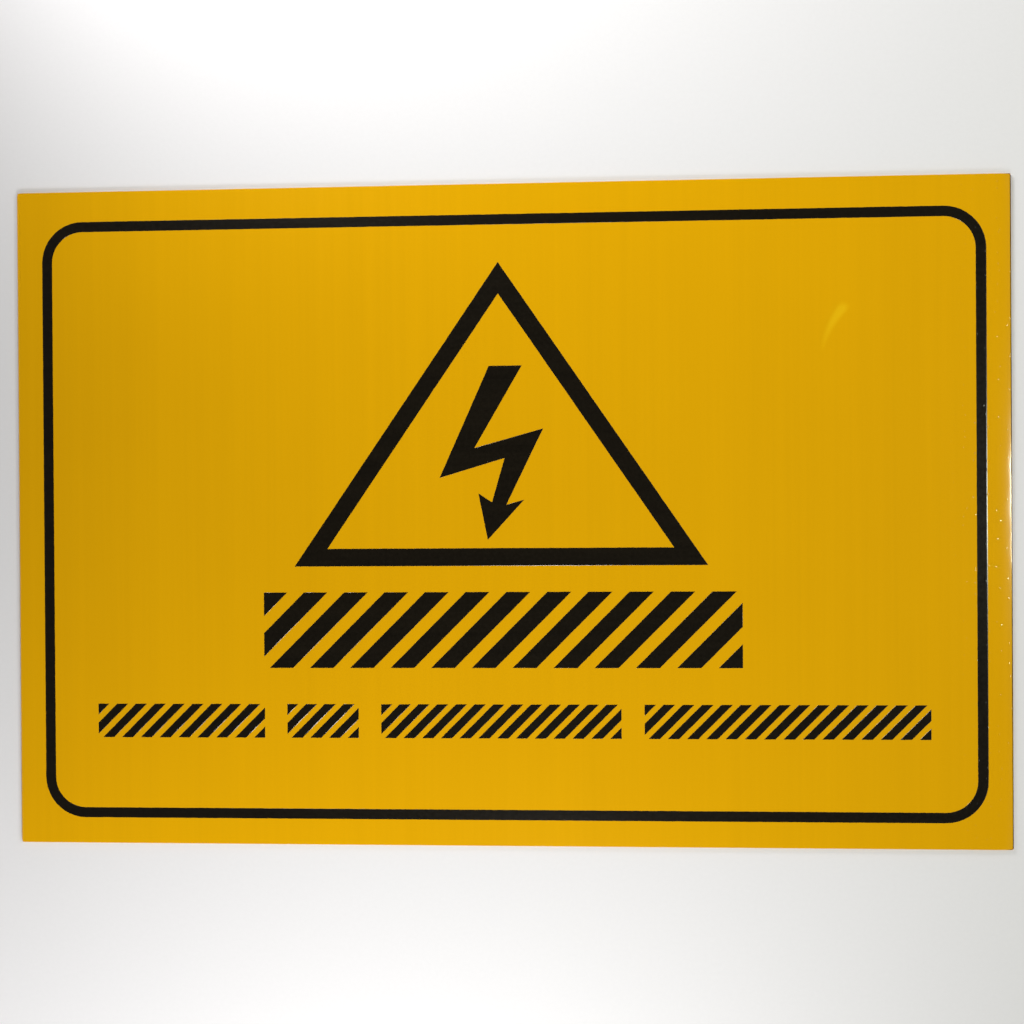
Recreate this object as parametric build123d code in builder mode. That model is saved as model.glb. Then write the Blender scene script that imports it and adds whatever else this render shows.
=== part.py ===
from build123d import *
import math
import os

# A high voltage warning sign: one yellow plastic sheet, screen-printed in black, lying face up.
# The picture's top points to +Y, and the origin is the middle of the sheet's back face.

# The sheet, cut to size on a guillotine
plate_width = 300.0
plate_height = 200.0
plate_thickness = 1.0

# The blade rolls the face's edge over, and the back's edge is broken
rolled_edge_radius = 0.3
back_edge_break = 0.1

# One pass of black ink
ink_thickness = 0.05

# How far the print sits off the sheet's middle
print_shift_x = 0.3
print_shift_y = -0.7

# The line inside the sheet's edge, with its insets taken to its outer side
border_inset_x = 7.5
border_inset_y = 8.5
border_stroke = 3.1
border_corner_radius = 12.5

# Clear heights between the figures, from the border's top line down to its bottom line
gap_border_to_triangle = 11.3
gap_triangle_to_headline = 7.9
gap_headline_to_lower_row = 11.0
gap_lower_row_to_border = 21.6

# The triangle takes the height that the rows and gaps leave, and its sides have this slope
triangle_side_angle = 55.7
triangle_stroke = 5.35
triangle_shift_x = -2.1

# The bolt hangs between these clearances from the triangle's inner apex and inner base
gap_apex_to_bolt = 21.8
gap_bolt_to_base = 2.5
bolt_tip_shift_x = -3.5

# The large row of diagonal stripes
headline_width = 144.8
headline_height = 23.0
headline_shift_x = -1.8
headline_stripe_width = 7.2
headline_stripe_pitch = 12.4

# The small row of diagonal stripes, in four groups that share the row in these proportions
lower_row_height = 10.3
lower_row_side_gap = 13.5
lower_row_group_gap = 6.9
lower_row_shares = (52, 22, 73, 85)
lower_row_stripe_width = 3.4
lower_row_stripe_pitch = 5.8

stripe_angle = 45.0

# The print's middle, and the room inside the border line
print_middle = Vector(print_shift_x, print_shift_y)
border_width = plate_width - 2 * border_inset_x
border_height = plate_height - 2 * border_inset_y
clear_width = border_width - 2 * border_stroke
clear_height = border_height - 2 * border_stroke
clear_top = print_shift_y + clear_height / 2

# Heights of the figures, stacked down from the border's top line
rows_height = gap_triangle_to_headline + headline_height + gap_headline_to_lower_row + lower_row_height
triangle_height = clear_height - gap_border_to_triangle - rows_height - gap_lower_row_to_border
triangle_top = clear_top - gap_border_to_triangle
triangle_base = triangle_top - triangle_height
headline_base = triangle_base - gap_triangle_to_headline - headline_height
lower_row_base = headline_base - gap_headline_to_lower_row - lower_row_height

# The triangle's outline, and its inside after the stroke is taken off each side
triangle_half_width = triangle_height / math.tan(math.radians(triangle_side_angle))
triangle_middle_x = print_shift_x + triangle_shift_x
inner_apex = triangle_top - triangle_stroke / math.cos(math.radians(triangle_side_angle))
inner_base = triangle_base + triangle_stroke

# The point of the bolt's arrow, and a hundredth of the bolt's height
bolt_tip_x = triangle_middle_x + bolt_tip_shift_x
bolt_tip_y = inner_base + gap_bolt_to_base
bolt_unit = (inner_apex - gap_apex_to_bolt - bolt_tip_y) / 100

# The bolt's corners from the arrow's point, as shares of its height in hundredths
bolt_corner_shares = [
    (0, 0),
    (-5.3, 26.8),
    (2.5, 21.6),
    (9.9, 47.0),
    (-27.6, 35.8),
    (1.1, 100),
    (20.1, 100),
    (-7.4, 52.9),
    (32.2, 63.8),
    (10.8, 20.2),
    (21.1, 23.0),
]

# The row of small stripes fills the border's inside, less a gap at each end
lower_row_width = clear_width - 2 * lower_row_side_gap
lower_row_left = print_shift_x - lower_row_width / 2
lower_row_gaps = lower_row_group_gap * (len(lower_row_shares) - 1)
lower_row_unit = (lower_row_width - lower_row_gaps) / sum(lower_row_shares)

face = Plane.XY.offset(plate_thickness)
os.makedirs("parts", exist_ok=True)


def striped_band(left, base, width, height, stripe_width, pitch):
    """Diagonal stripes clipped square to a band, spaced to start and end alike in two opposite corners."""
    lean = height / math.tan(math.radians(stripe_angle))
    room = width + lean - stripe_width
    gaps = max(1, round(room / pitch))
    for i in range(gaps + 1):
        foot = left - lean + i * room / gaps
        with BuildSketch(mode=Mode.PRIVATE) as stripe:
            with BuildLine():
                Polyline(
                    (foot, base),
                    (foot + stripe_width, base),
                    (foot + stripe_width + lean, base + height),
                    (foot + lean, base + height),
                    close=True,
                )
            make_face()
            with Locations((left + width / 2, base + height / 2)):
                Rectangle(width, height, mode=Mode.INTERSECT)
        add(stripe.sketch)


# The sheet
with BuildPart() as sign_plate:
    with BuildSketch():
        Rectangle(plate_width, plate_height)
    extrude(amount=plate_thickness)
    fillet(sign_plate.faces().sort_by(Axis.Z)[-1].edges(), radius=rolled_edge_radius)
    chamfer(sign_plate.faces().sort_by(Axis.Z)[0].edges(), length=back_edge_break)
sign_plate.part.label = "sign_plate"
export_step(sign_plate.part, "parts/sign_plate.step")

# The line with round corners
with BuildPart() as border_line:
    with BuildSketch(face):
        with Locations(print_middle):
            RectangleRounded(border_width, border_height, border_corner_radius)
            RectangleRounded(
                clear_width, clear_height, border_corner_radius - border_stroke, mode=Mode.SUBTRACT
            )
    extrude(amount=ink_thickness)
border_line.part.label = "border_line"
export_step(border_line.part, "parts/border_line.step")

# The triangle with mitred corners
with BuildPart() as warning_triangle:
    with BuildSketch(face):
        with BuildLine():
            Polyline(
                (triangle_middle_x - triangle_half_width, triangle_base),
                (triangle_middle_x + triangle_half_width, triangle_base),
                (triangle_middle_x, triangle_top),
                close=True,
            )
        make_face()
        offset(amount=-triangle_stroke, kind=Kind.INTERSECTION, mode=Mode.SUBTRACT)
    extrude(amount=ink_thickness)
warning_triangle.part.label = "warning_triangle"
export_step(warning_triangle.part, "parts/warning_triangle.step")

# The bolt that ends in an arrowhead
with BuildPart() as bolt_arrow:
    with BuildSketch(face):
        with BuildLine():
            Polyline(
                *[(bolt_tip_x + u * bolt_unit, bolt_tip_y + v * bolt_unit) for u, v in bolt_corner_shares],
                close=True,
            )
        make_face()
    extrude(amount=ink_thickness)
bolt_arrow.part.label = "bolt_arrow"
export_step(bolt_arrow.part, "parts/bolt_arrow.step")

# The large stripes
with BuildPart() as headline_stripes:
    with BuildSketch(face):
        striped_band(
            print_shift_x + headline_shift_x - headline_width / 2,
            headline_base,
            headline_width,
            headline_height,
            headline_stripe_width,
            headline_stripe_pitch,
        )
    extrude(amount=ink_thickness)
headline_stripes.part.label = "headline_stripes"
export_step(headline_stripes.part, "parts/headline_stripes.step")

# The four groups of small stripes
with BuildPart() as lower_stripes:
    with BuildSketch(face):
        group_left = lower_row_left
        for share in lower_row_shares:
            group_width = share * lower_row_unit
            striped_band(
                group_left,
                lower_row_base,
                group_width,
                lower_row_height,
                lower_row_stripe_width,
                lower_row_stripe_pitch,
            )
            group_left += group_width + lower_row_group_gap
    extrude(amount=ink_thickness)
lower_stripes.part.label = "lower_stripes"
export_step(lower_stripes.part, "parts/lower_stripes.step")
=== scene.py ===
import math

import bmesh
import bpy
from mathutils import Matrix, Vector, noise
from mathutils.geometry import delaunay_2d_cdt


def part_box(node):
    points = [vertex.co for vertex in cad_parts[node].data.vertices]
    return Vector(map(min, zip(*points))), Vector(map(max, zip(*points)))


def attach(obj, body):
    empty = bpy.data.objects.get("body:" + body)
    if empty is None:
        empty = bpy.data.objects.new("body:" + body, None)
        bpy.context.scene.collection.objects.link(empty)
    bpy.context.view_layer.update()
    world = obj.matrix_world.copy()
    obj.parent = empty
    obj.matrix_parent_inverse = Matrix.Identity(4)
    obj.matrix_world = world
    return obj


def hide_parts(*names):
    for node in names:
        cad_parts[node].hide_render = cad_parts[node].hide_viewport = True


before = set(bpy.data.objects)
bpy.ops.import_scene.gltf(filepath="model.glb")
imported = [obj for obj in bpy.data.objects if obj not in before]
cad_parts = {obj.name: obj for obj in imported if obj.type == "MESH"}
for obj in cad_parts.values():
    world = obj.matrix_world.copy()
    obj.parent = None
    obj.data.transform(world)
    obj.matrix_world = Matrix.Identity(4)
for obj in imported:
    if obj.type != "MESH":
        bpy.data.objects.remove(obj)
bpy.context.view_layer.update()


# The sheet: high-impact polystyrene, extruded 1 mm thick with its golden yellow all through.
# A guillotine cut it to size. The blade rolls the face's edge over, shears the upper part of the cut
# smooth, and breaks the lower part off rough and a little inside.

MM = 0.001
sheet_low, sheet_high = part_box("sign_plate")
sheet_top = sheet_high.z
sheet_size = sheet_high - sheet_low
grid_cell = 2 * MM
sheet_sharp_from = math.radians(40)

# Rows of faces in from the cut edge. The blade pulls the face down there, by a depth and over a width
# that differ from cut to cut, the most on the right.
roll_rows = (0.05 * MM, 0.07 * MM, 0.10 * MM, 0.20 * MM, 0.34 * MM, 0.44 * MM)
right_roll = (0.34 * MM, 5.2 * MM)
left_roll = (0.08 * MM, 0.8 * MM)
upper_roll = (0.008 * MM, 0.4 * MM)
lower_roll = (0.012 * MM, 0.6 * MM)

# The very rim of the right cut drops away once more, and every roll's depth wanders along its edge
right_rim_drop = 0.05 * MM
right_rim_reach = 0.06 * MM
roll_wander = 0.15
wander_length = 9 * MM

# The cut face, in shares of the thickness: where its smooth part ends, and the rows below that
burnish_height = 0.46
tear_rows = (0.37, 0.28, 0.19, 0.09)

# How far the lower part tears back, in grains that lie flat, how far the back's edge is broken off, and how
# far the corners are nipped
tear_depth = 0.045 * MM
tear_grain = 1.3 * MM
tear_flatness = 3
back_break = 0.06 * MM
corner_nip = 0.45 * MM

# The sheet lies flat, but its face has slow hollows from the rolls that drew it. The layer picks a pattern.
hollow_depth = 0.02 * MM
hollow_length = 70 * MM
hollow_layer = 3.7

# A short crease on the right, where a fingertip bent the sheet in handling. It thins by this share, starts
# and fades over these, and the grid is cut up finer within its rings.
crease_from = Vector((102.2, 62.8)) * MM
crease_to = Vector((94.3, 47.4)) * MM
crease_depth = 0.08 * MM
crease_half_width = 2.6 * MM
crease_bow = 1.2 * MM
crease_thinning = 0.65
crease_start = 0.15
crease_fade = 0.8
crease_rings = (16 * MM, 12.5 * MM)


def crease_nearness(x, y):
    """1 on the crease's line, falling to 0 at its sides and ends. It bows to the left and thins downward."""
    line = crease_to - crease_from
    along = line / line.length
    across = Vector((along.y, -along.x))
    offset = Vector((x, y)) - crease_from
    down = offset.dot(along) / line.length
    if down < 0 or down > 1:
        return 0.0
    bow = crease_bow * math.sin(math.pi * down)
    aside = abs(offset.dot(across) - bow) / (crease_half_width * (1 - crease_thinning * down))
    if aside > 1:
        return 0.0
    ends = min(1.0, down / crease_start) * (1 - down) ** crease_fade
    return (0.5 + 0.5 * math.cos(math.pi * aside)) * ends


def face_dip(x, y):
    """How far the sheet's face lies below its nominal height at a place, in metres."""
    slow = noise.noise(Vector((x / hollow_length, y / hollow_length, hollow_layer)))
    hollow = hollow_depth * (0.5 + 0.5 * max(-1.0, min(1.0, slow)))
    return hollow + crease_depth * crease_nearness(x, y)


def edge_distances(x, y):
    """How far a place lies inside the right, left, upper and lower cut."""
    return sheet_high.x - x, x - sheet_low.x, sheet_high.y - y, y - sheet_low.y


def roll_dip(x, y):
    """How far the blades pulled the face down at a place."""
    insides = edge_distances(x, y)
    dip = right_rim_drop * math.exp(-insides[0] / right_rim_reach)
    for inside, (drop, width) in zip(insides, (right_roll, left_roll, upper_roll, lower_roll)):
        dip += drop * max(0.0, 1 - inside / width) ** 2
    return dip * (1 + roll_wander * noise.noise(Vector((x, y, 0)) / wander_length))


def only_select(mesh, wanted):
    """Leaves just the faces selected that a test on their middle and normal wants."""
    edit = bmesh.from_edit_mesh(mesh)
    bpy.ops.mesh.select_all(action="DESELECT")
    bpy.ops.mesh.select_mode(type="FACE")
    for face in edit.faces:
        face.select_set(wanted(face.calc_center_median(), face.normal))
    edit.select_flush_mode()
    bmesh.update_edit_mesh(mesh)


bpy.ops.object.select_all(action="DESELECT")
bpy.ops.mesh.primitive_grid_add(
    x_subdivisions=round(sheet_size.x / grid_cell),
    y_subdivisions=round(sheet_size.y / grid_cell),
    size=1,
    location=(0, 0, sheet_top),
)
sheet = bpy.context.object
sheet.name = "polystyrene_sheet"
sheet.data.name = "polystyrene_sheet"
sheet.scale = (sheet_size.x, sheet_size.y, 1)
bpy.ops.object.transform_apply(location=True, scale=True)

bpy.ops.object.mode_set(mode="EDIT")
bpy.ops.mesh.select_all(action="SELECT")
bpy.ops.mesh.extrude_region_move(TRANSFORM_OT_translate={"value": (0, 0, -sheet_size.z)})
bpy.ops.mesh.select_all(action="SELECT")
bpy.ops.mesh.normals_make_consistent(inside=False)

# The back is one flat face, so its cells are dissolved
only_select(sheet.data, lambda middle, normal: normal.z < -0.9)
bpy.ops.mesh.dissolve_faces()

# Rows round the face's edge, for the roll of the blade
only_select(sheet.data, lambda middle, normal: normal.z > 0.9)
for row in roll_rows:
    bpy.ops.mesh.inset(thickness=row, use_boundary=True)

# Rows across the cut, for its smooth and its torn part
for share in (burnish_height, *tear_rows):
    bpy.ops.mesh.select_all(action="SELECT")
    bpy.ops.mesh.bisect(plane_co=(0, 0, sheet_low.z + share * sheet_size.z), plane_no=(0, 0, 1))

# The long roll on the right is cut up finer than the rest, and the rim finer again
roll_strip = right_roll[1] + grid_cell
only_select(sheet.data, lambda middle, normal: normal.z > -0.5 and sheet_high.x - middle.x < roll_strip)
bpy.ops.mesh.subdivide(number_cuts=1, quadcorner="INNERVERT")
rim_strip = sum(roll_rows) + 0.1 * MM
only_select(
    sheet.data,
    lambda middle, normal: normal.z > -0.5 and min(edge_distances(middle.x, middle.y)) < rim_strip,
)
bpy.ops.mesh.subdivide(number_cuts=1, quadcorner="INNERVERT")

# So is the face round the crease
crease_middle = (crease_from + crease_to) / 2
for ring in crease_rings:
    only_select(
        sheet.data,
        lambda middle, normal: normal.z > 0.5 and (middle.xy - crease_middle).length < ring,
    )
    bpy.ops.mesh.subdivide(number_cuts=1)
bpy.ops.object.mode_set(mode="OBJECT")

# Each vertex goes to its place: hollows and crease on the face, the roll at its edge, the torn part of
# the cut drawn in, and the four corners nipped round. Places are told apart to within a hair.
half = Vector((sheet_size.x / 2, sheet_size.y / 2))
hair = 0.001 * MM
# The crease's nearness is kept for the face's material, which paints its streak of whitening and painted
# highlight
creased = sheet.data.attributes.new("creased", "FLOAT", "POINT")
for vertex in sheet.data.vertices:
    place = vertex.co
    creased.data[vertex.index].value = crease_nearness(place.x, place.y)
    height = (place.z - sheet_low.z) / sheet_size.z
    if place.z > sheet_top - hair:
        place.z -= face_dip(place.x, place.y) + roll_dip(place.x, place.y)
    elif place.z < sheet_low.z + burnish_height * sheet_size.z - hair:
        grain_place = Vector((place.x, place.y, place.z * tear_flatness)) / tear_grain
        rough = 0.5 + 0.5 * noise.noise(grain_place)
        draw_in = tear_depth * (1 - height / burnish_height) * rough
        if place.z < sheet_low.z + hair:
            draw_in = tear_depth * 0.5 + back_break
        if abs(place.x) > half.x - hair:
            place.x -= math.copysign(draw_in, place.x)
        if abs(place.y) > half.y - hair:
            place.y -= math.copysign(draw_in, place.y)
    from_corner = Vector((half.x - abs(place.x), half.y - abs(place.y)))
    if max(from_corner) < corner_nip:
        reach = Vector((corner_nip, corner_nip)) - from_corner
        if reach.length > corner_nip:
            reach *= corner_nip / reach.length
            place.x = math.copysign(half.x - corner_nip + reach.x, place.x)
            place.y = math.copysign(half.y - corner_nip + reach.y, place.y)
sheet.data.update()
bpy.ops.object.select_all(action="DESELECT")
sheet.select_set(True)
bpy.context.view_layer.objects.active = sheet
bpy.ops.object.shade_smooth_by_angle(angle=sheet_sharp_from)


def linear(code, alpha=1.0):
    """A colour written as an sRGB hex code, as the linear values that a shader takes."""
    levels = [int(code[i:i + 2], 16) / 255 for i in (1, 3, 5)]
    return (*[v / 12.92 if v <= 0.04045 else ((v + 0.055) / 1.055) ** 2.4 for v in levels], alpha)


def add_node(tree, kind, inputs=None, **settings):
    """Adds a node with its settings. Its inputs are values, or the sockets that feed them."""
    made = tree.nodes.new("ShaderNode" + kind)
    for name, value in settings.items():
        setattr(made, name, value)
    for name, value in (inputs or {}).items():
        if isinstance(value, bpy.types.NodeSocket):
            tree.links.new(value, made.inputs[name])
        else:
            made.inputs[name].default_value = value
    return made


def new_material(name):
    """Makes a material. It gives back the material, its empty tree and a socket of places in millimetres."""
    material = bpy.data.materials.new(name)
    material.use_nodes = True
    tree = material.node_tree
    tree.nodes.clear()
    place = add_node(tree, "TexCoord").outputs["Object"]
    scaled = add_node(tree, "VectorMath", {0: place, 1: (1 / MM, 1 / MM, 1 / MM)}, operation="MULTIPLY")
    return material, tree, scaled.outputs["Vector"]


# Dust nibs: their cells to a millimetre, one nib to a cell, the share of cells with none, and their radius in
# cells. They start and are all there at these millimetres right of the middle.
nib_cells = 0.3
nib_empty = 0.5
nib_radius = 0.12
nibs_from = 126
nibs_all_from = 138
nib_rise_in_plastic = 6.5
nib_rise_in_ink = 4.6


def dust_nibs(tree, mm):
    """Heights of sparse low domes, under a millimetre wide, over the dust along the sign's right side."""
    cells = add_node(
        tree, "TexVoronoi", {"Vector": mm, "Scale": nib_cells, "Randomness": 1.0}, voronoi_dimensions="2D"
    )
    kept = add_node(tree, "SeparateColor", {0: cells.outputs["Color"]}).outputs[0]
    kept = add_node(tree, "Math", {0: kept, 1: nib_empty}, operation="GREATER_THAN")
    dome = add_node(
        tree,
        "MapRange",
        {0: cells.outputs["Distance"], 1: 0.0, 2: nib_radius, 3: 1.0, 4: 0.0},
        interpolation_type="SMOOTHSTEP",
    )
    across = add_node(tree, "SeparateXYZ", {0: mm}).outputs["X"]
    side = add_node(tree, "MapRange", {0: across, 1: nibs_from, 2: nibs_all_from, 3: 0, 4: 1})
    dome = add_node(tree, "Math", {0: dome.outputs[0], 1: kept.outputs[0]}, operation="MULTIPLY")
    return add_node(tree, "Math", {0: dome.outputs[0], 1: side.outputs[0]}, operation="MULTIPLY").outputs[0]


# Extruded polystyrene takes the gloss of its polishing rolls. Up close it has faint die lines along its
# run, which is up the sign, and a slight orange peel, and its yellow drifts a little in tone.
face_plastic, tree, mm = new_material("glossy_polystyrene_face")
run = add_node(tree, "Mapping", {"Vector": mm, "Scale": (1, 0.012, 1)}).outputs["Vector"]
die_lines = add_node(tree, "TexNoise", {"Vector": run, "Scale": 0.55, "Detail": 4, "Roughness": 0.62})
die_bands = add_node(tree, "TexNoise", {"Vector": run, "Scale": 0.09, "Detail": 2, "Roughness": 0.5})
drift = add_node(tree, "TexNoise", {"Vector": mm, "Scale": 0.022, "Detail": 2, "Roughness": 0.5})
grain = add_node(tree, "TexNoise", {"Vector": mm, "Scale": 1.9, "Detail": 3, "Roughness": 0.6})
peel = add_node(tree, "TexNoise", {"Vector": mm, "Scale": 0.42, "Detail": 2, "Roughness": 0.45})

tone = add_node(
    tree, "Mix", {0: drift.outputs["Fac"], 6: linear("#E6A900"), 7: linear("#EAAD00")}, data_type="RGBA"
)
lined = add_node(tree, "MapRange", {0: die_lines.outputs["Fac"], 1: 0.3, 2: 0.7, 3: 0.985, 4: 1.012})
banded = add_node(tree, "MapRange", {0: die_bands.outputs["Fac"], 1: 0.3, 2: 0.7, 3: 0.99, 4: 1.01})
grained = add_node(tree, "MapRange", {0: grain.outputs["Fac"], 1: 0.3, 2: 0.7, 3: 0.99, 4: 1.01})
gain = add_node(tree, "Math", {0: lined.outputs[0], 1: banded.outputs[0]}, operation="MULTIPLY")
gain = add_node(tree, "Math", {0: gain.outputs[0], 1: grained.outputs[0]}, operation="MULTIPLY")
plain = add_node(tree, "VectorMath", {0: tone.outputs[2], "Scale": gain.outputs[0]}, operation="SCALE")

# Bending whitens polystyrene. The crease's paler, brighter yellow streak is partly that whitening and partly
# a painted highlight of the light the dent catches.
bent = add_node(tree, "Attribute", attribute_name="creased").outputs["Fac"]
whitening_and_painted_highlight = add_node(tree, "MapRange", {0: bent, 1: 0.05, 2: 0.65, 3: 0.0, 4: 0.9})
colour = add_node(
    tree, "Mix", {0: whitening_and_painted_highlight.outputs[0], 6: plain.outputs["Vector"], 7: linear("#F2BE0C")}, data_type="RGBA"
)

height = add_node(
    tree, "Math", {0: die_lines.outputs["Fac"], 1: 0.5, 2: peel.outputs["Fac"]}, operation="MULTIPLY_ADD"
)
nibs = dust_nibs(tree, mm)
height = add_node(
    tree, "Math", {0: nibs, 1: nib_rise_in_plastic, 2: height.outputs[0]}, operation="MULTIPLY_ADD"
)
bump = add_node(tree, "Bump", {"Height": height.outputs[0], "Strength": 0.6, "Distance": 0.012 * MM})
gloss = add_node(tree, "MapRange", {0: die_lines.outputs["Fac"], 1: 0.3, 2: 0.7, 3: 0.115, 4: 0.135})
shader = add_node(
    tree,
    "BsdfPrincipled",
    {
        "Base Color": colour.outputs[2],
        "Roughness": gloss.outputs[0],
        "IOR": 1.55,
        "Normal": bump.outputs["Normal"],
    },
)
add_node(tree, "OutputMaterial", {"Surface": shader.outputs["BSDF"]})

# The cut is the same plastic with no polish: fine shear lines across it, and a torn, paler lower part
cut_plastic, tree, mm = new_material("sheared_polystyrene_edge")
shear = add_node(tree, "Mapping", {"Vector": mm, "Scale": (1, 1, 0.15)}).outputs["Vector"]
shear_lines = add_node(tree, "TexNoise", {"Vector": shear, "Scale": 3.2, "Detail": 4, "Roughness": 0.7})
tear = add_node(tree, "TexNoise", {"Vector": mm, "Scale": 5.0, "Detail": 4, "Roughness": 0.7})
up = add_node(tree, "SeparateXYZ", {0: mm}).outputs["Z"]
torn_below = (burnish_height - 0.04) * sheet_size.z / MM
smooth_above = (burnish_height + 0.04) * sheet_size.z / MM
torn = add_node(tree, "MapRange", {0: up, 1: torn_below, 2: smooth_above, 3: 1, 4: 0})
tone = add_node(
    tree, "Mix", {0: shear_lines.outputs["Fac"], 6: linear("#D89A00"), 7: linear("#E3A903")}, data_type="RGBA"
)
pale = add_node(
    tree, "Mix", {0: tear.outputs["Fac"], 6: linear("#DFA51C"), 7: linear("#EBBB45")}, data_type="RGBA"
)
colour = add_node(tree, "Mix", {0: torn.outputs[0], 6: tone.outputs[2], 7: pale.outputs[2]}, data_type="RGBA")
gloss = add_node(tree, "MapRange", {0: torn.outputs[0], 1: 0, 2: 1, 3: 0.3, 4: 0.62})
height = add_node(tree, "Math", {0: shear_lines.outputs["Fac"], 1: tear.outputs["Fac"]}, operation="ADD")
bump = add_node(tree, "Bump", {"Height": height.outputs[0], "Strength": 0.7, "Distance": 0.03 * MM})
shader = add_node(
    tree,
    "BsdfPrincipled",
    {
        "Base Color": colour.outputs[2],
        "Roughness": gloss.outputs[0],
        "IOR": 1.55,
        "Normal": bump.outputs["Normal"],
    },
)
add_node(tree, "OutputMaterial", {"Surface": shader.outputs["BSDF"]})

# The back never met the polishing roll: the same yellow, satin, with fine rubs from being stacked
back_plastic, tree, mm = new_material("satin_polystyrene_back")
run = add_node(tree, "Mapping", {"Vector": mm, "Scale": (1, 0.03, 1)}).outputs["Vector"]
die_lines = add_node(tree, "TexNoise", {"Vector": run, "Scale": 0.5, "Detail": 4, "Roughness": 0.6})
rub_place = add_node(tree, "Mapping", {"Vector": mm, "Rotation": (0, 0, 0.6), "Scale": (0.5, 0.02, 1)})
rubs = add_node(
    tree, "TexNoise", {"Vector": rub_place.outputs["Vector"], "Scale": 1.3, "Detail": 5, "Roughness": 0.7}
)
rubbed = add_node(tree, "MapRange", {0: rubs.outputs["Fac"], 1: 0.62, 2: 0.74, 3: 0, 4: 1})
tone = add_node(
    tree, "Mix", {0: die_lines.outputs["Fac"], 6: linear("#DA9B00"), 7: linear("#E1A506")}, data_type="RGBA"
)
colour = add_node(
    tree, "Mix", {0: rubbed.outputs[0], 6: tone.outputs[2], 7: linear("#E6B02A")}, data_type="RGBA"
)
gloss = add_node(tree, "MapRange", {0: rubbed.outputs[0], 1: 0, 2: 1, 3: 0.42, 4: 0.6})
bump = add_node(tree, "Bump", {"Height": die_lines.outputs["Fac"], "Strength": 0.6, "Distance": 0.015 * MM})
shader = add_node(
    tree,
    "BsdfPrincipled",
    {
        "Base Color": colour.outputs[2],
        "Roughness": gloss.outputs[0],
        "IOR": 1.55,
        "Normal": bump.outputs["Normal"],
    },
)
add_node(tree, "OutputMaterial", {"Surface": shader.outputs["BSDF"]})

# What looks down is the back, and what is steep is the cut
steep = 0.35
for material in (face_plastic, cut_plastic, back_plastic):
    sheet.data.materials.append(material)
for face in sheet.data.polygons:
    if face.normal.z < -0.9:
        face.material_index = 2
    elif face.normal.z < steep:
        face.material_index = 1

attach(sheet, "root")
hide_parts("sign_plate")


# The print: one pass of black screen ink over the whole face, cured to a film that can be felt.
# The screen's mesh leaves its edges slightly wavy, and the film thins to a slope there, which is what
# catches the light along the lines.

ink_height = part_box("border_line")[1].z - sheet_top
weld = 0.002 * MM
film_sharp_from = math.radians(45)

# The longest step along an outline, and its waves as depths and lengths. Those across and those up the sign
# are read in two layers of the noise.
outline_step = 0.35 * MM
slow_wave = (0.035 * MM, 2.3 * MM)
quick_wave = (0.025 * MM, 0.7 * MM)
upper_layer = 7.3

# The film's edge starts as a feather and climbs in steps, given as shares of its width and of its height. The
# last step is level, so that the top shades flat. The squeegee ran to the right, so the film slumps out long
# where it faces that way, and stays short elsewhere.
feather = 0.006 * MM
short_edge = 0.05 * MM
long_edge = 0.28 * MM
long_edge_focus = 6
edge_steps = ((0.08, 0.1), (0.3, 0.35), (0.6, 0.67), (0.85, 0.93), (0.95, 0.99), (1.0, 1.0), (1.4, 1.0))

# Semi-gloss ink: near black with a warm cast, slightly uneven from the squeegee, with the screen's
# mesh left in its skin. Real mesh is about 0.15 mm, and it is drawn at 0.5 mm so that it can show.
black_ink, tree, mm = new_material("screen_printed_black_ink")
pull = add_node(tree, "Mapping", {"Vector": mm, "Scale": (0.05, 1, 1)}).outputs["Vector"]
streaks = add_node(tree, "TexNoise", {"Vector": pull, "Scale": 0.35, "Detail": 3, "Roughness": 0.6})
blots = add_node(tree, "TexNoise", {"Vector": mm, "Scale": 0.9, "Detail": 4, "Roughness": 0.65})
threads = add_node(tree, "TexVoronoi", {"Vector": mm, "Scale": 2.0, "Randomness": 0.35}, distance="CHEBYCHEV")
uneven = add_node(tree, "Math", {0: streaks.outputs["Fac"], 1: blots.outputs["Fac"]}, operation="ADD")
tone = add_node(tree, "MapRange", {0: uneven.outputs[0], 1: 0.7, 2: 1.3, 3: 0, 4: 1})
colour = add_node(
    tree, "Mix", {0: tone.outputs[0], 6: linear("#110D06"), 7: linear("#19140B")}, data_type="RGBA"
)
gloss = add_node(tree, "MapRange", {0: blots.outputs["Fac"], 1: 0.3, 2: 0.7, 3: 0.19, 4: 0.25})
height = add_node(
    tree, "Math", {0: threads.outputs["Distance"], 1: 0.4, 2: blots.outputs["Fac"]}, operation="MULTIPLY_ADD"
)
nibs = dust_nibs(tree, mm)
height = add_node(tree, "Math", {0: nibs, 1: nib_rise_in_ink, 2: height.outputs[0]}, operation="MULTIPLY_ADD")
bump = add_node(tree, "Bump", {"Height": height.outputs[0], "Strength": 0.6, "Distance": 0.02 * MM})
shader = add_node(
    tree,
    "BsdfPrincipled",
    {
        "Base Color": colour.outputs[2],
        "Roughness": gloss.outputs[0],
        "IOR": 1.5,
        "Normal": bump.outputs["Normal"],
    },
)
add_node(tree, "OutputMaterial", {"Surface": shader.outputs["BSDF"]})


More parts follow.
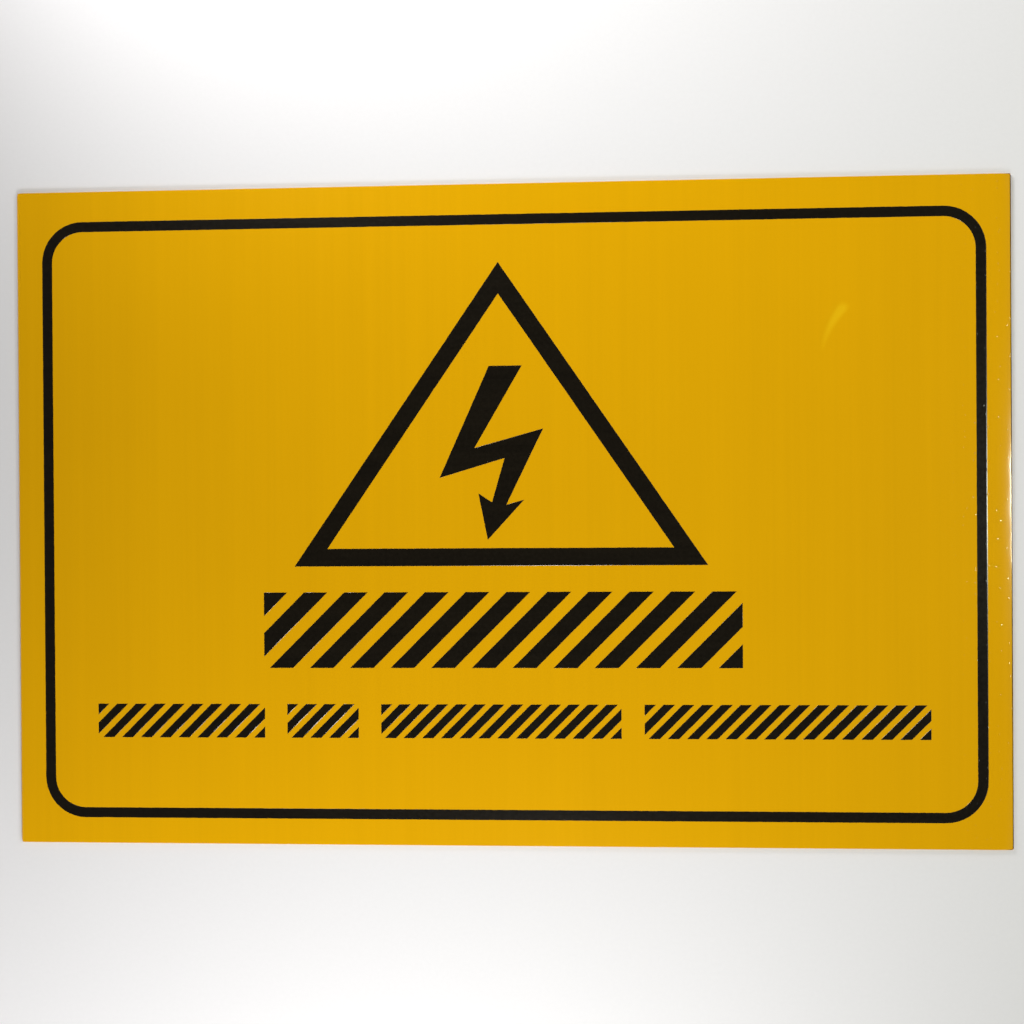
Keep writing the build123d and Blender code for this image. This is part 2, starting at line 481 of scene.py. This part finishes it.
def close_over(mesh):
    """Closes the selected outlines with triangles, and takes those that fill a hole out again."""
    edit = bmesh.from_edit_mesh(mesh)
    way_in = edit.verts.layers.float_vector["way_in"]
    rim = [vertex for vertex in edit.verts if vertex.select]
    number = {vertex: i for i, vertex in enumerate(rim)}
    ties = [[number[end] for end in edge.verts] for edge in edit.edges if edge.select]
    rim_edges = {edge for edge in edit.edges if edge.select}
    filled = delaunay_2d_cdt([vertex.co.xy / MM for vertex in rim], ties, [], 1, 1e-6)
    triangles = filled[2]
    sources = filled[3]
    lid = [edit.faces.new([rim[sources[corner][0]] for corner in triangle]) for triangle in triangles]

    # A triangle fills a hole where its rim edge has the ink on the other side, and so do those that it joins
    facing_away = -0.2
    in_hole = set()
    front = []
    for face in lid:
        face.normal_update()
        for loop in face.loops:
            run = (loop.link_loop_next.vert.co - loop.vert.co).normalized() * face.normal.z
            inward = Vector((-run.y, run.x, 0))
            if loop.edge in rim_edges and loop.vert[way_in].normalized().dot(inward) < facing_away:
                front.append(face)
    while front:
        face = front.pop()
        in_hole.add(face)
        for edge in face.edges:
            if edge not in rim_edges:
                front += [other for other in edge.link_faces if other not in in_hole]
    bmesh.ops.delete(edit, geom=[face for face in lid if face in in_hole], context="FACES_KEEP_BOUNDARY")
    bmesh.update_edit_mesh(mesh)


def print_figure(node, name):
    """Prints one figure: takes its CAD node's outline, waves it and builds the film up from it in steps."""
    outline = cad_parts[node].data.copy()
    outline.name = name
    outline.materials.clear()
    outline.attributes.active = None
    film = bpy.data.objects.new(name, outline)
    bpy.context.scene.collection.objects.link(film)
    bpy.ops.object.select_all(action="DESELECT")
    film.select_set(True)
    bpy.context.view_layer.objects.active = film

    # Merged, and cut down to its upper side
    bpy.ops.object.mode_set(mode="EDIT")
    bpy.ops.mesh.select_all(action="SELECT")
    bpy.ops.mesh.remove_doubles(threshold=weld)
    half_way = sheet_top + ink_height / 2
    only_select(outline, lambda middle, normal: normal.z <= 0.9 or middle.z <= half_way)
    bpy.ops.mesh.delete(type="FACE")

    # Each corner keeps its mitred way in to the film's full height. The points that later come between two
    # corners take the mean of their ways, so the film's edge can't fold over in a sharp corner.
    edit = bmesh.from_edit_mesh(outline)
    way_in = edit.verts.layers.float_vector.new("way_in")
    for vertex in edit.verts:
        sides = []
        for edge in vertex.link_edges:
            if edge.is_boundary:
                loop = edge.link_loops[0]
                run = (loop.link_loop_next.vert.co - loop.vert.co).normalized()
                sides.append(Vector((-run.y, run.x, 0)))
        if len(sides) == 2:
            way = (sides[0] + sides[1]) / (1 + sides[0].dot(sides[1]))
            to_right = max(0.0, -way.normalized().x) ** long_edge_focus
            vertex[way_in] = way * (short_edge + (long_edge - short_edge) * to_right)

    # Cut down again to its outline
    bpy.ops.mesh.select_all(action="DESELECT")
    bpy.ops.mesh.select_mode(type="EDGE")
    for edge in edit.edges:
        edge.select_set(not edge.is_boundary)
    bpy.ops.mesh.delete(type="EDGE")
    bpy.ops.mesh.select_all(action="SELECT")
    bpy.ops.mesh.delete(type="ONLY_FACE")

    # Halved until no edge is longer than the step
    while True:
        edit = bmesh.from_edit_mesh(outline)
        bpy.ops.mesh.select_all(action="DESELECT")
        long = [edge for edge in edit.edges if edge.calc_length() > outline_step]
        if not long:
            break
        for edge in long:
            edge.select_set(True)
        bpy.ops.mesh.subdivide(number_cuts=1)

    # Waved, and laid on the face
    edit = bmesh.from_edit_mesh(outline)
    for vertex in edit.verts:
        for depth, length in (slow_wave, quick_wave):
            spot = Vector((vertex.co.x, vertex.co.y, 0)) / length
            vertex.co.x += depth * noise.noise(spot)
            vertex.co.y += depth * noise.noise(spot + Vector((0, 0, upper_layer)))
        vertex.co.z = sheet_top
    bmesh.update_edit_mesh(outline)

    # Raised step by step to the film's full height, and filled over
    bpy.ops.mesh.select_all(action="SELECT")
    bpy.ops.mesh.extrude_region_move(TRANSFORM_OT_translate={"value": (0, 0, feather)})
    moved = 0.0
    for share, climb in edge_steps:
        bpy.ops.mesh.extrude_region_move()
        edit = bmesh.from_edit_mesh(outline)
        way_in = edit.verts.layers.float_vector["way_in"]
        for vertex in edit.verts:
            if vertex.select:
                vertex.co += vertex[way_in] * (share - moved)
                vertex.co.z = sheet_top + feather + (ink_height - feather) * climb
        bmesh.update_edit_mesh(outline)
        moved = share
    close_over(outline)

    # Closed underneath, where it lies on the sheet
    bpy.ops.mesh.select_all(action="DESELECT")
    bpy.ops.mesh.select_mode(type="EDGE")
    edit = bmesh.from_edit_mesh(outline)
    for edge in edit.edges:
        edge.select_set(max(end.co.z for end in edge.verts) < sheet_top + feather / 2)
    close_over(outline)
    bpy.ops.mesh.select_all(action="SELECT")
    bpy.ops.mesh.normals_make_consistent(inside=False)
    bpy.ops.object.mode_set(mode="OBJECT")

    for vertex in outline.vertices:
        vertex.co.z -= face_dip(vertex.co.x, vertex.co.y)
    outline.attributes.remove(outline.attributes["way_in"])
    outline.update()
    bpy.ops.object.shade_smooth_by_angle(angle=film_sharp_from)
    outline.materials.append(black_ink)
    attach(film, "root")
    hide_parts(node)


# The line with round corners that runs inside the sheet's edge
print_figure("border_line", "printed_border")

# The triangle's outline, with mitred corners
print_figure("warning_triangle", "printed_triangle")

# The bolt with its arrowhead, inside the triangle
print_figure("bolt_arrow", "printed_bolt")

# The row of large diagonal stripes
print_figure("headline_stripes", "printed_large_stripes")

# The four groups of small diagonal stripes
print_figure("lower_stripes", "printed_small_stripes")


# The table under the sign: a wide sheet of matt white paper, a hair below the sign's back. It is open under
# the sign, all but a rim, so that the back can be seen from below.
floor_size = 6.0
floor_drop = 0.05 * MM
floor_rim = 2 * MM
opening = (sheet_size.x - 2 * floor_rim, sheet_size.y - 2 * floor_rim)
bpy.ops.object.select_all(action="DESELECT")
bpy.ops.mesh.primitive_plane_add(size=floor_size, location=(0, 0, -floor_drop))
floor = bpy.context.object
floor.name = "paper_floor"

# The opening, drawn in from the floor's edge and stretched to the sign's shape
bpy.ops.object.mode_set(mode="EDIT")
bpy.ops.mesh.select_all(action="SELECT")
bpy.ops.mesh.inset(thickness=(floor_size - opening[1]) / 2)
bpy.ops.transform.resize(value=(opening[0] / opening[1], 1, 1))
bpy.ops.mesh.delete(type="FACE")
bpy.ops.object.mode_set(mode="OBJECT")

# Matt paper with a faint fibre. From 160 mm off the sign's middle it fades into the colour of the room behind
# it, which only the camera and reflections see.
room_colour = "#E8E7E6"
room_strength = 1.05
fade_from = 160
fade_to = 240
paper, tree, mm = new_material("matt_white_paper")
fibre = add_node(tree, "TexNoise", {"Vector": mm, "Scale": 0.8, "Detail": 3, "Roughness": 0.6})
colour = add_node(
    tree, "Mix", {0: fibre.outputs["Fac"], 6: linear("#EBE9EA"), 7: linear("#EFEDEE")}, data_type="RGBA"
)
shader = add_node(tree, "BsdfPrincipled", {"Base Color": colour.outputs[2], "Roughness": 0.8, "IOR": 1.4})
away = add_node(tree, "VectorMath", {0: mm}, operation="ABSOLUTE").outputs["Vector"]
away = add_node(tree, "SeparateXYZ", {0: away})
away = add_node(tree, "Math", {0: away.outputs["X"], 1: away.outputs["Y"]}, operation="MAXIMUM")
fade = add_node(
    tree,
    "MapRange",
    {0: away.outputs[0], 1: fade_from, 2: fade_to, 3: 0, 4: 1},
    interpolation_type="SMOOTHSTEP",
)
ray = add_node(tree, "LightPath")
seen = add_node(
    tree, "Math", {0: ray.outputs["Is Camera Ray"], 1: ray.outputs["Is Glossy Ray"]}, operation="MAXIMUM"
)
fade = add_node(tree, "Math", {0: fade.outputs[0], 1: seen.outputs[0]}, operation="MULTIPLY")
room_glow = add_node(tree, "Emission", {"Color": linear(room_colour), "Strength": room_strength})
shader = add_node(
    tree, "MixShader", {0: fade.outputs[0], 1: shader.outputs["BSDF"], 2: room_glow.outputs["Emission"]}
)
add_node(tree, "OutputMaterial", {"Surface": shader.outputs["Shader"]})
floor.data.materials.append(paper)


# The light: two soft boxes low outside the sign's long edges, which skim it, and a smaller, slightly greenish
# one on the right, which glows in the right edge's roll. A pale room fills in between. It is dark overhead,
# so that the glossy face keeps its colour, and the lamps don't show in any view.
def soft_box(name, place, aim, width, height, watts, colour=(1, 1, 1)):
    """A rectangular lamp that faces a point, and that the camera doesn't see."""
    light = bpy.data.lights.new(name, "AREA")
    light.shape = "RECTANGLE"
    light.size = width
    light.size_y = height
    light.energy = watts
    light.color = colour
    lamp = bpy.data.objects.new(name, light)
    lamp.location = place
    lamp.rotation_euler = (Vector(aim) - Vector(place)).to_track_quat("-Z", "Y").to_euler()
    lamp.visible_camera = False
    bpy.context.scene.collection.objects.link(lamp)


soft_box("upper_box", (-0.155, 0.285, 0.205), (0.25, 0.4, 0), 0.09, 0.13, 1.33)
soft_box("lower_box", (0.02, -0.330, 0.250), (-0.4, -0.07, 0), 0.09, 0.13, 1.26)
soft_box("right_box", (0.548, 0.003, 0.432), (0.12, 0, 0), 0.09, 0.07, 1.28, (0.93, 1.0, 0.86))

# The room's tones, from its floor up to overhead
room_tones = ((0.02, room_colour), (0.2, "#AEADAD"), (0.66, "#AEADAD"), (0.8, "#383838"))
world = bpy.data.worlds.new("studio_room")
bpy.context.scene.world = world
world.use_nodes = True
tree = world.node_tree
tree.nodes.clear()
direction = add_node(tree, "TexCoord").outputs["Generated"]
upward = add_node(tree, "SeparateXYZ", {0: direction}).outputs["Z"]
room = add_node(tree, "ValToRGB", {"Fac": upward})
tones = room.color_ramp.elements
for tone, (position, code) in zip(tones, (room_tones[0], room_tones[-1])):
    tone.position = position
    tone.color = linear(code)
for position, code in room_tones[1:-1]:
    tones.new(position).color = linear(code)
glow = add_node(tree, "Background", {"Color": room.outputs["Color"], "Strength": room_strength})
add_node(tree, "OutputWorld", {"Surface": glow.outputs["Background"]})


# The camera stands straight over the sign, about 30 cm up, a little right of its middle.
camera_place = Vector((15.2, 2.0, 302.5)) * MM
camera_aim = Vector((-0.04354, -0.00355, -0.99905))
camera_up = Vector((0.00621, 0.99997, -0.00382))
focal_length = 35.156
lens = bpy.data.cameras.new("overhead_camera")
lens.sensor_width = 36
lens.lens = focal_length
camera = bpy.data.objects.new("overhead_camera", lens)
camera.location = camera_place
right = camera_aim.cross(camera_up).normalized()
up = right.cross(camera_aim).normalized()
turn = [[right[i], up[i], -camera_aim[i]] for i in range(3)]
camera.rotation_mode = "QUATERNION"
camera.rotation_quaternion = Matrix(turn).to_quaternion()
bpy.context.scene.collection.objects.link(camera)
bpy.context.scene.camera = camera
bpy.context.scene.view_settings.view_transform = "Standard"
